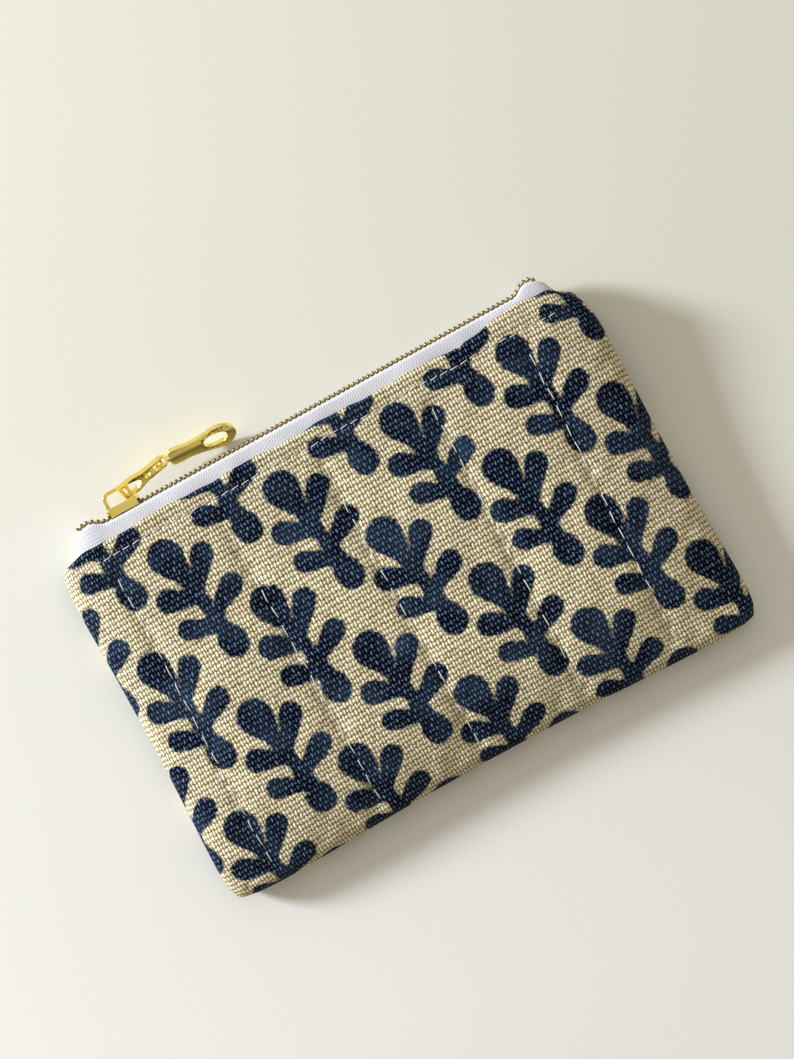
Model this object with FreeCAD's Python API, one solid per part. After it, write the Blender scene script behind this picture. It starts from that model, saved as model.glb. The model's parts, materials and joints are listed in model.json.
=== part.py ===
import FreeCAD, Part
import math
import os

V = FreeCAD.Vector

# Quilted zip pouch lying on its back. X runs along the zipper, Y from the bottom edge to the zipper and Z up.
# The origin is the middle of the flat area the back panel rests on. All lengths are in millimetres.

# Pouch
HALF_WIDTH = 70.2            # seam line to centre, at the sides
BOTTOM_Y = -45.0             # seam line at the bottom corners
FOLD_Y = 45.8                # folded canvas edges at the zipper
SEAM_Z = 4.0                 # height of the side and bottom seams
EDGE_RADIUS = 3.3            # roundness of the sewn edges
FRONT_CROWN = 5.75           # how far the front rises above its sewn edges
MOUTH_CROWN = 5.05           # the same at the zipper
BACK_CROWN = 0.75            # how far the back drops below its sewn edges, before it rests flat
FRONT_RUN, MOUTH_RUN, BACK_RUN = 30.0, 15.0, 11.0   # how far in from the sewn edges each crown rises
BOTTOM_PULL_IN = 2.6         # the bottom seam curves in this much between its corners
SIDE_PULL_IN = 0.9
BOTTOM_FLARE = 1.1           # the pouch is this much wider on each side at the bottom than at the zipper
BOTTOM_CORNER_RADIUS = 5.5
MOUTH_CORNER_RADIUS = 6.0
CORNER_LIFT = 4.0            # the mouth's +X corner stands off the ground by this much
LIFT_START_X, LIFT_RUN_X = 55.0, 20.0
LIFT_START_Y, LIFT_RUN_Y = -25.0, 80.0
CROWN_POWER = 2.2            # steepness of a crown next to its sewn edge
CROWN_BLEND_START_Y, CROWN_BLEND_RUN = 5.0, 35.0   # where the front's crown turns into the mouth's
EDGE_REACH = 12.0            # inner layers follow the sewn edges' curve this far in

# Layers, each given by the depths of its two faces below the outside
CANVAS = 0.8
HEM = 1.5                    # canvas folded double along the zipper
BATTING = (0.9, 2.7)
LINING = (2.85, 3.15)
LINING_AT_ZIPPER = (2.6, 2.9)
TAPE = (1.75, 2.25)
HEM_START_Y, HEM_FULL_Y = 38.8, 40.4
BATTING_END_Y = 37.8
LINING_END_Y = 45.2
HEM_FOLD_ANGLES = [math.radians(a) for a in (0, 30, 60, 80)]
SEAM_GAP = 0.04              # half the gap between front and back layers at a seam
GROUND_SIZE = 400.0          # block of ground that the resting panel is flattened on
OVERSHOOT = 1.0              # how far a cutting shape reaches past what it cuts

# Zipper, number 3 nylon coil
TAPE_START_Y = 41.0          # sewn-in edge of each tape
TAPE_THICKNESS = TAPE[1] - TAPE[0]
TAPE_FACE_Y = 49.2           # outer face of the tapes under the coils
TAPE_HALF_LENGTH = 64.0
TAPE_EDGE = 0.6              # tape edge to the zipper's centre plane
CHAIN_Z = 6.4                # the zipper's centre plane
TAPE_BEND = 0.9              # outer radius of each tape's bend
TAPE_BEND_ANGLES = [math.radians(a) for a in (0, 22, 45, 68, 90)]
TAPE_STATIONS = 26
TAPE_YS = (TAPE_START_Y, 42.6, 44.2, FOLD_Y)
COIL_GAP = 0.03              # between tape and coil
COIL_PITCH = 1.27
COIL_HEIGHT = 1.3
COIL_START_X, COIL_TURNS = -57.6, 93
COIL_OUTER, COIL_SPINE, COIL_TIP = 2.1, 1.25, 0.62
TOOTH_WIDTH = 0.62
CORD_RADIUS = 0.2
CORD_CHANNEL = (1.42, 1.93)
COIL_STITCH_RADIUS, COIL_STITCH_GAP, COIL_STITCH_HALF = 0.1, 0.05, 0.3
COIL_STITCH_OFFSET, COIL_STITCH_SLANT = 0.13, 0.1    # beside the coil, and how far each stitch slants outwards

# Stitches
THREAD_RADIUS = 0.15
FRONT_STITCH_PROUD, BACK_STITCH_PROUD = 0.1, -0.26   # thread axis above the cloth; the back's is drawn in flush
TOPSTITCH_Y, TOPSTITCH_PITCH, TOPSTITCH_LENGTH, TOPSTITCH_HALF_RUN = 41.9, 2.6, 2.2, 63.0
QUILT_XS = (-57.2, -28.7, -2.4, 25.2, 50.2)
QUILT_PITCH, QUILT_LENGTH = 4.5, 2.6
QUILT_Y_RANGE = (-39.0, 38.0)
SEAM_PITCH, SEAM_PIN_RADIUS, SEAM_PIN_HALF, SEAM_INSET = 2.6, 0.12, 0.6, 0.42
SEAM_CORNER, SIDE_SEAM_END_Y = 10.0, 36.0            # seam stitches leave out the rounded corners
LINING_STITCH_INSET, LINING_STITCH_HALF_RUN = 9.0, 50.0
LINING_STITCH_LENGTH, LINING_STITCH_RADIUS, LINING_STITCH_PROUD = 2.0, 0.12, 0.25
TACK_X, TACK_PITCH, TACK_BARS, TACK_HALF, TACK_SLANT, TACK_GAP = 61.6, 0.42, 5, 1.2, 0.1, 0.05

# Slider and pull. The slider runs along X, and its outward direction is +Y.
SLIDER_X = -48.2
SLIDER_LENGTH, SLIDER_NOSE_HALF, SLIDER_TAIL_HALF = 8.6, 3.35, 2.75
NOSE_ROUND, TAIL_ROUND, TAPER_START = 1.3, 0.5, -0.6
CHANNEL_HALF = COIL_OUTER + 0.36
RUN_CLEARANCE = 0.3
WING = 0.8
POST_HALF_WIDTH = 0.3
POST_RANGE = (-3.3, -1.5)
BAIL_RANGE = (-3.7, 3.3)
BAIL_WIDTH, BAIL_HOLLOW, BAIL_THICKNESS = 1.4, 3.2, 0.8
BAIL_OUTER_ROUND, BAIL_INNER_ROUND, BAIL_FILLET = 1.9, 1.2, 0.2
PIVOT_X, PIVOT_HEIGHT = 1.3, 2.05   # the link's crossbar, from the slider's middle and above its outer wing
PULL_ROLL = 28.0             # link and tab lie loose, rolled about their length, upper edge leaning out
PULL_DROOP = 4.7             # both slope down, so that the tab's end lies on the ground
LINK_ANGLE, TAB_ANGLE = 11.0, -4.0   # directions of link and tab from +X towards +Y
LINK_THICKNESS, LINK_LENGTH = 1.1, 11.4
LINK_BAR_RADIUS, LINK_END_BAR_RADIUS = 0.5, 0.4
LINK_NEAR_HALF, LINK_FAR_HALF = 2.8, 1.95
LINK_OUTLINE = ((0.0, LINK_NEAR_HALF), (3.6, LINK_NEAR_HALF), (6.4, LINK_FAR_HALF), (LINK_LENGTH, LINK_FAR_HALF))
BAIL_WINDOW = ((-1.0, 1.95), (3.0, 1.95), (4.9, 0.9), (5.3, 0.0))
SMALL_WINDOW_RANGE, SMALL_WINDOW_WIDTH = (6.3, 8.0), 1.5
TAB_THICKNESS = 1.0
TAB_RING_RADIUS, TAB_RING_HOLE, TAB_RING_WIDTH = 1.65, 1.05, 1.0   # loose on the link's end bar
RING_WINDOW_START, RING_WINDOW_HALF = 9.2, 1.25
TAB_END_RADIUS, TAB_END_CENTRE, TAB_END_JOIN = 4.2, 14.8, 12.49
TAB_OUTLINE = ((1.2, 0.55), (2.0, 0.6), (2.3, 2.5), (2.8, 2.9), (5.0, 2.9), (6.9, 2.5), (9.6, 2.85))
EYE_LENGTH, EYE_WIDTH, EYE_WALL = 6.0, 4.4, 2.2

EDGE_ANGLES = [math.radians(a) for a in (0, 22, 45, 68, 90)]
HALF_XS = (9.5, 19.0, 28.5, 38.0, 46.0, 52.0, 56.5, 60.5, 64.0)
INNER_XS = [-x for x in reversed(HALF_XS)] + [0.0] + list(HALF_XS)
INNER_YS = [-39.5, -36.0, -32.0, -26.0, -18.0, -9.0, 0.0, 9.0, 18.0, 26.0, 32.0, 35.5, 37.8]
HEM_YS = [HEM_START_Y, 39.6, HEM_FULL_Y, 42.0, 43.6]
LEAST_ROW_GAP = 0.8

TOLERANCE = 1e-3

OUT = "parts"
os.makedirs(OUT, exist_ok=True)


def smooth(t):
    """0 below 0, 1 above 1 and an easy curve between."""
    t = max(0.0, min(1.0, t))
    return t * t * (3.0 - 2.0 * t)


def rise(distance, run):
    """Crown profile from a sewn edge inwards, from 0 to 1."""
    return 1.0 - (1.0 - max(0.0, min(1.0, distance / run))) ** CROWN_POWER


def crown(side, x_inset, y_inset, y, depth):
    """Height of the crown over the seam plane's edge radius, at distances from the sewn edges."""
    near_x = x_inset - depth * max(0.0, 1.0 - x_inset / EDGE_REACH)
    near_y = y_inset - depth * max(0.0, 1.0 - y_inset / EDGE_REACH)
    if side < 0:
        return BACK_CROWN * rise(near_x, BACK_RUN) * rise(near_y, BACK_RUN)
    at_mouth = smooth((y - CROWN_BLEND_START_Y) / CROWN_BLEND_RUN)
    run = FRONT_RUN + (MOUTH_RUN - FRONT_RUN) * at_mouth
    height = FRONT_CROWN + (MOUTH_CROWN - FRONT_CROWN) * at_mouth
    return height * rise(near_x, run) * rise(near_y, FRONT_RUN)


def settle(x, y, z):
    """Moves a point of the plain rectangle to the pouch's outline.

    The corners are rounded, the edges pulled in, the bottom flared and the mouth's +X corner lifted.
    """
    across = x / HALF_WIDTH
    up = y / (FOLD_Y if y > 0 else -BOTTOM_Y)
    radius = MOUTH_CORNER_RADIUS if y > 0 else BOTTOM_CORNER_RADIUS
    corner = 0.293 * radius * abs(across) ** 9 * abs(up) ** 9
    flare = BOTTOM_FLARE * (0.5 - 0.5 * up) ** 2 - SIDE_PULL_IN * (1.0 - up * up)
    sx = x - math.copysign(corner, x) + flare * across ** 3
    sy = y - math.copysign(corner, y)
    if y < 0:
        sy += BOTTOM_PULL_IN * (1.0 - across * across) * abs(up) ** 3
    lift = CORNER_LIFT * smooth((x - LIFT_START_X) / LIFT_RUN_X) * smooth((y - LIFT_START_Y) / LIFT_RUN_Y)
    return V(sx, sy, z + lift)


def side_stations(half, depth, inner):
    """(position, inset, sine) from the -side seam to the +side seam."""
    radius = EDGE_RADIUS - depth
    edge = [(depth + radius * (1.0 - math.cos(a)), math.sin(a)) for a in EDGE_ANGLES]
    low = [(-half + inset, inset, sine) for inset, sine in edge]
    middle = [(p, half - abs(p), 1.0) for p in inner]
    return low + middle + [(-p, inset, sine) for p, inset, sine in reversed(low)]


def panel_point(side, x_station, y_station, depth):
    x, x_inset, x_sine = x_station
    y, y_inset, y_sine = y_station
    up = (EDGE_RADIUS - depth) * x_sine * y_sine + crown(side, x_inset, y_inset, y, depth) + SEAM_GAP
    return settle(x, y, SEAM_Z + side * up)


def panel_grid(side, depth_at, rows):
    """Points of one face of a panel layer.

    depth_at gives the face's depth below the outside at each y, and rows are (y, extra depth) stations above the
    bottom edge's curve.
    """
    depth = depth_at(BOTTOM_Y)
    radius = EDGE_RADIUS - depth
    bottom = [(BOTTOM_Y + depth + radius * (1.0 - math.cos(a)), math.sin(a)) for a in EDGE_ANGLES]
    stations = [((y, y - BOTTOM_Y, sine), depth) for y, sine in bottom]
    stations += [((y, y - BOTTOM_Y, 1.0), depth_at(y) + extra) for y, extra in rows]
    grid = []
    for station, layer_depth in stations:
        xs = side_stations(HALF_WIDTH, min(layer_depth, EDGE_RADIUS - 0.1), INNER_XS)
        grid.append([panel_point(side, x, station, layer_depth) for x in xs])
    return grid


def sheet_solid(outer, inner):
    """Closed solid of flat facets between two grids of points."""
    rows, cols = len(outer), len(outer[0])
    points = [point for grid in (outer, inner) for row in grid for point in row]
    rim = [(i, 0) for i in range(rows)] + [(rows - 1, j) for j in range(1, cols)]
    rim += [(i, cols - 1) for i in reversed(range(rows - 1))] + [(0, j) for j in reversed(range(cols - 1))]
    facets = []
    for i in range(rows - 1):
        for j in range(cols - 1):
            a, b, c, d = (r * cols + q for r, q in ((i, j), (i, j + 1), (i + 1, j + 1), (i + 1, j)))
            facets += [(a, b, c), (a, c, d)]
    facets += [tuple(rows * cols + k for k in reversed(facet)) for facet in facets]
    for (i, j), (k, l) in zip(rim, rim[1:]):
        a, b = i * cols + j, k * cols + l
        facets += [(a, b, rows * cols + b), (a, rows * cols + b, rows * cols + a)]
    solid = solid_of(points, facets)
    if solid.Volume < 0:
        solid = solid_of(points, [facet[::-1] for facet in facets])
    return solid


def solid_of(points, facets):
    shape = Part.Shape()
    shape.makeShapeFromMesh((points, facets), TOLERANCE)
    return Part.Solid(shape.Shells[0])


def save(shape, name):
    shape.exportStep(os.path.join(OUT, name + ".step"))


def layer_rows(end_y, fold=0.0):
    """Stations up to a layer's end at the zipper. fold rounds the end by sinking its last rows."""
    rows = [(y, 0.0) for y in INNER_YS + HEM_YS if y < end_y - LEAST_ROW_GAP]
    if fold == 0.0:
        return rows + [(end_y, 0.0)]
    return rows + [(end_y - fold + fold * math.sin(a), fold * (1.0 - math.cos(a))) for a in HEM_FOLD_ANGLES]


def changing_depth(below, at_zipper):
    """A face's depth at each y: one value over the panel, another along the zipper."""
    def depth(y):
        return below + (at_zipper - below) * smooth((y - HEM_START_Y) / (HEM_FULL_Y - HEM_START_Y))
    return depth


def canvas(side):
    """Outer cloth, folded double along the zipper. The back one is flattened where it rests."""
    rows = layer_rows(FOLD_Y, HEM / 2.0)
    outer = panel_grid(side, changing_depth(0.0, 0.0), rows)
    inner = panel_grid(side, changing_depth(CANVAS, HEM), [(y, -extra) for y, extra in rows])
    solid = sheet_solid(outer, inner)
    if side < 0:
        corner = V(-GROUND_SIZE / 2, -GROUND_SIZE / 2, -GROUND_SIZE)
        solid = solid.cut(Part.makeBox(GROUND_SIZE, GROUND_SIZE, GROUND_SIZE, corner))
    return solid


def batting(side):
    rows = layer_rows(BATTING_END_Y)
    return sheet_solid(*(panel_grid(side, changing_depth(depth, depth), rows) for depth in BATTING))


def lining(side):
    rows = layer_rows(LINING_END_Y)
    depths = zip(LINING, LINING_AT_ZIPPER)
    return sheet_solid(*(panel_grid(side, changing_depth(*pair), rows) for pair in depths))


def tape_path(side, x, inward):
    """One face of a tape across the zipper at x, from its sewn-in edge to the centre plane, as (y, z)."""
    station = (x, HALF_WIDTH - abs(x), 1.0)
    sewn = [panel_point(side, station, (y, y - BOTTOM_Y, 1.0), TAPE[0] + inward) for y in TAPE_YS]
    fold = sewn[-1]
    centre = CHAIN_Z + settle(x, FOLD_Y, 0.0).z
    radius = TAPE_BEND - inward
    bend_y, bend_z = TAPE_FACE_Y - inward - radius, fold.z - side * radius
    arc = [(bend_y + radius * math.sin(a), bend_z + side * radius * math.cos(a)) for a in TAPE_BEND_ANGLES]
    return [(p.y, p.z) for p in sewn] + arc + [(TAPE_FACE_Y - inward, centre + side * TAPE_EDGE)]


def tape(side):
    """Sewn under the canvas, then bent round to lie flat behind the coils."""
    xs = [TAPE_HALF_LENGTH * (2.0 * i / TAPE_STATIONS - 1.0) for i in range(TAPE_STATIONS + 1)]
    faces = [[[V(x, y, z) for y, z in tape_path(side, x, inward)] for x in xs] for inward in (0.0, TAPE_THICKNESS)]
    return sheet_solid(*faces)


def coil(side):
    """One side's coil: a spine with a tooth each turn and a channel for the filler cord."""
    length, start = COIL_PITCH * COIL_TURNS, coil_start(side)
    points = [(start, COIL_OUTER), (start + length, COIL_OUTER), (start + length, COIL_SPINE)]
    for i in reversed(range(COIL_TURNS)):
        x = start + COIL_PITCH * (i + 0.5)
        points += [(x + TOOTH_WIDTH / 2, COIL_SPINE), (x + TOOTH_WIDTH / 2, COIL_TIP),
                   (x - TOOTH_WIDTH / 2, COIL_TIP), (x - TOOTH_WIDTH / 2, COIL_SPINE)]
    points.append((start, COIL_SPINE))
    outline = [V(x, TAPE_FACE_Y + COIL_GAP, CHAIN_Z + side * w) for x, w in points]
    solid = Part.Face(Part.makePolygon(outline + outline[:1])).extrude(V(0, COIL_HEIGHT, 0))
    size = CORD_CHANNEL[1] - CORD_CHANNEL[0]
    low = min(CHAIN_Z + side * w for w in CORD_CHANNEL)
    channel = Part.makeBox(length + 2 * OVERSHOOT, size, size, V(start - OVERSHOOT, cord_y() - size / 2.0, low))
    return solid.cut(channel)


def coil_start(side):
    """The back coil's turns stand half a turn further on, so that the two coils mesh."""
    return COIL_START_X + (COIL_PITCH / 2.0 if side < 0 else 0.0)


def cord_y():
    return TAPE_FACE_Y + COIL_GAP + COIL_HEIGHT / 2.0


def coil_cord(side):
    start = V(coil_start(side), cord_y(), CHAIN_Z + side * sum(CORD_CHANNEL) / 2.0)
    return Part.makeCylinder(CORD_RADIUS, COIL_PITCH * COIL_TURNS, start, V(1, 0, 0))


def coil_stitches(side):
    """Loops of thread beside the coil, one each turn, on the tape's outer face."""
    y = TAPE_FACE_Y + COIL_STITCH_RADIUS + COIL_STITCH_GAP
    z = CHAIN_Z + side * (COIL_OUTER + COIL_STITCH_OFFSET)
    loops = []
    for i in range(COIL_TURNS):
        x = COIL_START_X + COIL_PITCH * (i + 0.5)
        end = V(x + COIL_STITCH_HALF, y, z + side * COIL_STITCH_SLANT)
        loops.append(thread(V(x - COIL_STITCH_HALF, y, z), end, COIL_STITCH_RADIUS))
    return Part.makeCompound(loops)


def thread(begin, end, radius):
    run = end - begin
    return Part.makeCylinder(radius, run.Length, begin, run)


def on_panel(side, x, y, clearance):
    """A point clearance above a panel's outside, away from its sewn edges."""
    station = (x, HALF_WIDTH - abs(x), 1.0)
    point = panel_point(side, station, (y, y - BOTTOM_Y, 1.0), 0.0)
    return V(point.x, point.y, point.z + side * clearance)


def surface_stitch(side, start, end):
    proud = FRONT_STITCH_PROUD if side > 0 else BACK_STITCH_PROUD
    return thread(on_panel(side, *start, proud), on_panel(side, *end, proud), THREAD_RADIUS)


def topstitching(side):
    count = int(2 * TOPSTITCH_HALF_RUN / TOPSTITCH_PITCH)
    stitches = []
    for i in range(count):
        x = -TOPSTITCH_HALF_RUN + TOPSTITCH_PITCH * i
        stitches.append(surface_stitch(side, (x, TOPSTITCH_Y), (x + TOPSTITCH_LENGTH, TOPSTITCH_Y)))
    return Part.makeCompound(stitches)


def quilting(side):
    stitches = []
    count = int((QUILT_Y_RANGE[1] - QUILT_Y_RANGE[0]) / QUILT_PITCH)
    for x in QUILT_XS:
        for i in range(count):
            y = QUILT_Y_RANGE[0] + QUILT_PITCH * i
            stitches.append(surface_stitch(side, (x, y), (x, y + QUILT_LENGTH)))
    return Part.makeCompound(stitches)


def seam_pin(x, y):
    base = settle(x, y, SEAM_Z - SEAM_PIN_HALF)
    return Part.makeCylinder(SEAM_PIN_RADIUS, 2 * SEAM_PIN_HALF, base, V(0, 0, 1))


def side_seam(sign):
    start = BOTTOM_Y + SEAM_CORNER
    count = int((SIDE_SEAM_END_Y - start) / SEAM_PITCH)
    x = sign * (HALF_WIDTH - SEAM_INSET)
    return Part.makeCompound([seam_pin(x, start + SEAM_PITCH * i) for i in range(count)])


def bottom_seam():
    start = -HALF_WIDTH + SEAM_CORNER
    count = int(-2 * start / SEAM_PITCH)
    y = BOTTOM_Y + SEAM_INSET
    return Part.makeCompound([seam_pin(start + SEAM_PITCH * i, y) for i in range(count)])


def lining_seam():
    """Stitches that close the bottom of the lining, lying on the back lining's inner face."""
    y = BOTTOM_Y + LINING_STITCH_INSET
    stitches = []
    for i in range(int(2 * LINING_STITCH_HALF_RUN / SEAM_PITCH)):
        x = -LINING_STITCH_HALF_RUN + SEAM_PITCH * i
        ends = []
        for end in (x, x + LINING_STITCH_LENGTH):
            station = (end, HALF_WIDTH - abs(end), 1.0)
            point = panel_point(-1, station, (y, y - BOTTOM_Y, 1.0), LINING[1])
            ends.append(V(point.x, point.y, point.z + LINING_STITCH_PROUD))
        stitches.append(thread(*ends, LINING_STITCH_RADIUS))
    return Part.makeCompound(stitches)


def end_tack(sign):
    """Bar tack across both tapes, just past the coils' ends."""
    y = TAPE_FACE_Y + THREAD_RADIUS + TACK_GAP
    bars = []
    for i in range(TACK_BARS):
        x = sign * (TACK_X + TACK_PITCH * i)
        z = CHAIN_Z + settle(x, FOLD_Y, 0.0).z
        bars.append(thread(V(x, y, z - TACK_HALF), V(x + TACK_SLANT, y, z + TACK_HALF), THREAD_RADIUS))
    return Part.makeCompound(bars)


def slider_point(along, out, across):
    return V(SLIDER_X + along, TAPE_FACE_Y + out, CHAIN_Z + across)


def wing_outline(out):
    """A wing's outline: wide rounded nose towards -X, narrower tail towards +X."""
    half = SLIDER_LENGTH / 2.0
    corners = ((NOSE_ROUND - half, SLIDER_NOSE_HALF), (TAPER_START, SLIDER_NOSE_HALF),
               (half - TAIL_ROUND, SLIDER_TAIL_HALF))
    nose, taper, tail = (slider_point(along, out, -across) for along, across in corners)
    far_nose, far_taper, far_tail = (slider_point(along, out, across) for along, across in corners)
    edges = [Part.Arc(far_nose, slider_point(-half, out, 0.0), nose), Part.LineSegment(nose, taper),
             Part.LineSegment(taper, tail), Part.Arc(tail, slider_point(half, out, 0.0), far_tail),
             Part.LineSegment(far_tail, far_taper), Part.LineSegment(far_taper, far_nose)]
    return Part.Face(Part.Wire([edge.toShape() for edge in edges]))


def slider_levels():
    """Outward positions of the inner wing's two faces and the outer wing's two faces."""
    inner_top = -TAPE_THICKNESS - RUN_CLEARANCE
    outer_low = COIL_GAP + COIL_HEIGHT + RUN_CLEARANCE
    return inner_top - WING, inner_top, outer_low, outer_low + WING


def slider_body():
    """Two wings joined by the post at the nose, with flanges that guide the coils."""
    inner_low, inner_top, outer_low, outer_top = slider_levels()
    inner = wing_outline(inner_low).extrude(V(0, WING, 0))
    outer = wing_outline(outer_low).extrude(V(0, outer_top - outer_low, 0))
    flange = wing_outline(RUN_CLEARANCE).extrude(V(0, outer_low - RUN_CLEARANCE, 0))
    channel = Part.makeBox(SLIDER_LENGTH + 2 * OVERSHOOT, outer_top, 2 * CHANNEL_HALF,
                           slider_point(-SLIDER_LENGTH / 2 - OVERSHOOT, 0.0, -CHANNEL_HALF))
    post = Part.makeBox(POST_RANGE[1] - POST_RANGE[0], outer_low - inner_top, 2 * POST_HALF_WIDTH,
                        slider_point(POST_RANGE[0], inner_top, -POST_HALF_WIDTH))
    return outer.fuse([flange.cut(channel), post, inner]).removeSplitter()


def slider_bail():
    """An arch over the outer wing, standing on two feet along the slider's middle line."""
    outer = arch(0.0, BAIL_HOLLOW + BAIL_THICKNESS, BAIL_OUTER_ROUND)
    bail = outer.cut(arch(BAIL_THICKNESS, BAIL_HOLLOW, BAIL_INNER_ROUND))
    return bail.makeFillet(BAIL_FILLET, [edge for edge in bail.Edges if is_rim(edge)])


def arch(inset, height, radius):
    """Solid block on the outer wing with its two upper corners rounded."""
    low, high = BAIL_RANGE[0] + inset, BAIL_RANGE[1] - inset
    bend = radius * (1.0 - math.sqrt(0.5))
    sides = ((low, 0.0), (low, height - radius), (low + bend, height - bend), (low + radius, height),
             (high - radius, height), (high - bend, height - bend), (high, height - radius), (high, 0.0))
    base = slider_levels()[3]
    foot, a, b, c, d, e, f, far_foot = (slider_point(along, base + up, -BAIL_WIDTH / 2) for along, up in sides)
    edges = [Part.LineSegment(foot, a), Part.Arc(a, b, c), Part.LineSegment(c, d), Part.Arc(d, e, f),
             Part.LineSegment(f, far_foot), Part.LineSegment(far_foot, foot)]
    return Part.Face(Part.Wire([edge.toShape() for edge in edges])).extrude(V(0, 0, BAIL_WIDTH))


def is_rim(edge):
    """True for the edges that run round the two sides of the bail's strap, away from its feet."""
    box = edge.BoundBox
    on_side = box.ZLength < TOLERANCE
    above_feet = box.YMax > TAPE_FACE_Y + slider_levels()[3] + TOLERANCE
    return on_side and above_feet


def pull_axes(angle):
    """Directions of a pull piece: along its length, across its width and out of its face."""
    roll, droop, turn = (math.radians(value) for value in (PULL_ROLL, PULL_DROOP, angle))
    along = V(math.cos(turn) * math.cos(droop), math.sin(turn) * math.cos(droop), -math.sin(droop))
    level = V(-math.sin(turn), math.cos(turn), 0.0)
    across = level * math.sin(roll) + along.cross(level) * math.cos(roll)
    return along, across, along.cross(across)


def pivot_point():
    return slider_point(PIVOT_X, slider_levels()[3] + PIVOT_HEIGHT, 0.0)


def place(shape, origin, angle):
    """Puts a pull piece, modelled with its length on X, width on Y and thickness on Z, where it lies."""
    along, across, face = pull_axes(angle)
    matrix = FreeCAD.Matrix(along.x, across.x, face.x, origin.x,
                            along.y, across.y, face.y, origin.y,
                            along.z, across.z, face.z, origin.z, 0, 0, 0, 1)
    shape.Placement = FreeCAD.Placement(matrix)
    return shape


def prism(half, thickness):
    """Solid centred on z = 0, whose outline is half's (x, y) corners and their mirror image across the X axis."""
    outline = [V(x, y, -thickness / 2) for x, y in half]
    outline += [V(x, -y, -thickness / 2) for x, y in reversed(half) if y > 0.0]
    return Part.Face(Part.makePolygon(outline + outline[:1])).extrude(V(0, 0, thickness))


def stadium(start, end, width, thickness):
    """Solid with straight sides and round ends, from x = start to x = end."""
    radius = width / 2.0
    middle = Part.makeBox(end - start - width, width, thickness, V(start + radius, -radius, -thickness / 2))
    ends = [Part.makeCylinder(radius, thickness, V(x, 0, -thickness / 2)) for x in (start + radius, end - radius)]
    return middle.fuse(ends).removeSplitter()


def crossbar(x, radius, half):
    return Part.makeCylinder(radius, 2 * half, V(x, -half, 0), V(0, 1, 0))


def pull_link():
    """Flat link: crossbar in the bail, D window, small window, then the end bar that carries the tab."""
    depth = LINK_THICKNESS + 2 * OVERSHOOT
    ring_window = ((RING_WINDOW_START, RING_WINDOW_HALF), (LINK_LENGTH + OVERSHOOT, RING_WINDOW_HALF))
    plate = prism(LINK_OUTLINE, LINK_THICKNESS).cut(prism(BAIL_WINDOW, depth))
    plate = plate.cut(stadium(*SMALL_WINDOW_RANGE, SMALL_WINDOW_WIDTH, depth)).cut(prism(ring_window, depth))
    bars = [crossbar(0.0, LINK_BAR_RADIUS, LINK_NEAR_HALF), crossbar(LINK_LENGTH, LINK_END_BAR_RADIUS, LINK_FAR_HALF)]
    return place(plate.fuse(bars).removeSplitter(), pivot_point(), LINK_ANGLE)


def tab_origin():
    return pivot_point() + pull_axes(LINK_ANGLE)[0] * LINK_LENGTH


def pull_tab():
    """Paddle: a ring on the link's end bar, shoulders, a waist and a round end with an oval eye."""
    reach = math.sqrt(TAB_END_RADIUS ** 2 - (TAB_END_CENTRE - TAB_END_JOIN) ** 2)
    paddle = prism(TAB_OUTLINE + ((TAB_END_JOIN, reach),), TAB_THICKNESS)
    end = Part.makeCylinder(TAB_END_RADIUS, TAB_THICKNESS, V(TAB_END_CENTRE, 0, -TAB_THICKNESS / 2))
    ring = crossbar(0.0, TAB_RING_RADIUS, TAB_RING_WIDTH / 2)
    hole = crossbar(0.0, TAB_RING_HOLE, TAB_RING_WIDTH / 2 + OVERSHOOT)
    eye_end = TAB_END_CENTRE + TAB_END_RADIUS - EYE_WALL
    eye = stadium(eye_end - EYE_LENGTH, eye_end, EYE_WIDTH, TAB_THICKNESS + 2 * OVERSHOOT)
    tab = paddle.fuse([end, ring]).cut(hole).cut(eye).removeSplitter()
    return place(tab, tab_origin(), TAB_ANGLE)


for name, side in (("front", 1), ("back", -1)):
    save(canvas(side), name + "_canvas")
    save(batting(side), name + "_batting")
    save(lining(side), name + "_lining")
    save(tape(side), name + "_zipper_tape")
    save(coil(side), name + "_zipper_coil")
    save(coil_cord(side), name + "_coil_cord")
    save(coil_stitches(side), name + "_coil_stitches")
    save(topstitching(side), name + "_topstitching")
    save(quilting(side), name + "_quilting")
for name, sign in (("left", -1), ("right", 1)):
    save(side_seam(sign), name + "_seam_thread")
    save(end_tack(sign), name + "_end_tack")
save(bottom_seam(), "bottom_seam_thread")
save(lining_seam(), "lining_seam_thread")
save(slider_body(), "slider_body")
save(slider_bail(), "slider_bail")
save(pull_link(), "pull_link")
save(pull_tab(), "pull_tab")
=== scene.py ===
import json
import math

import bpy
import numpy as np
from mathutils import Matrix, Vector

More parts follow.
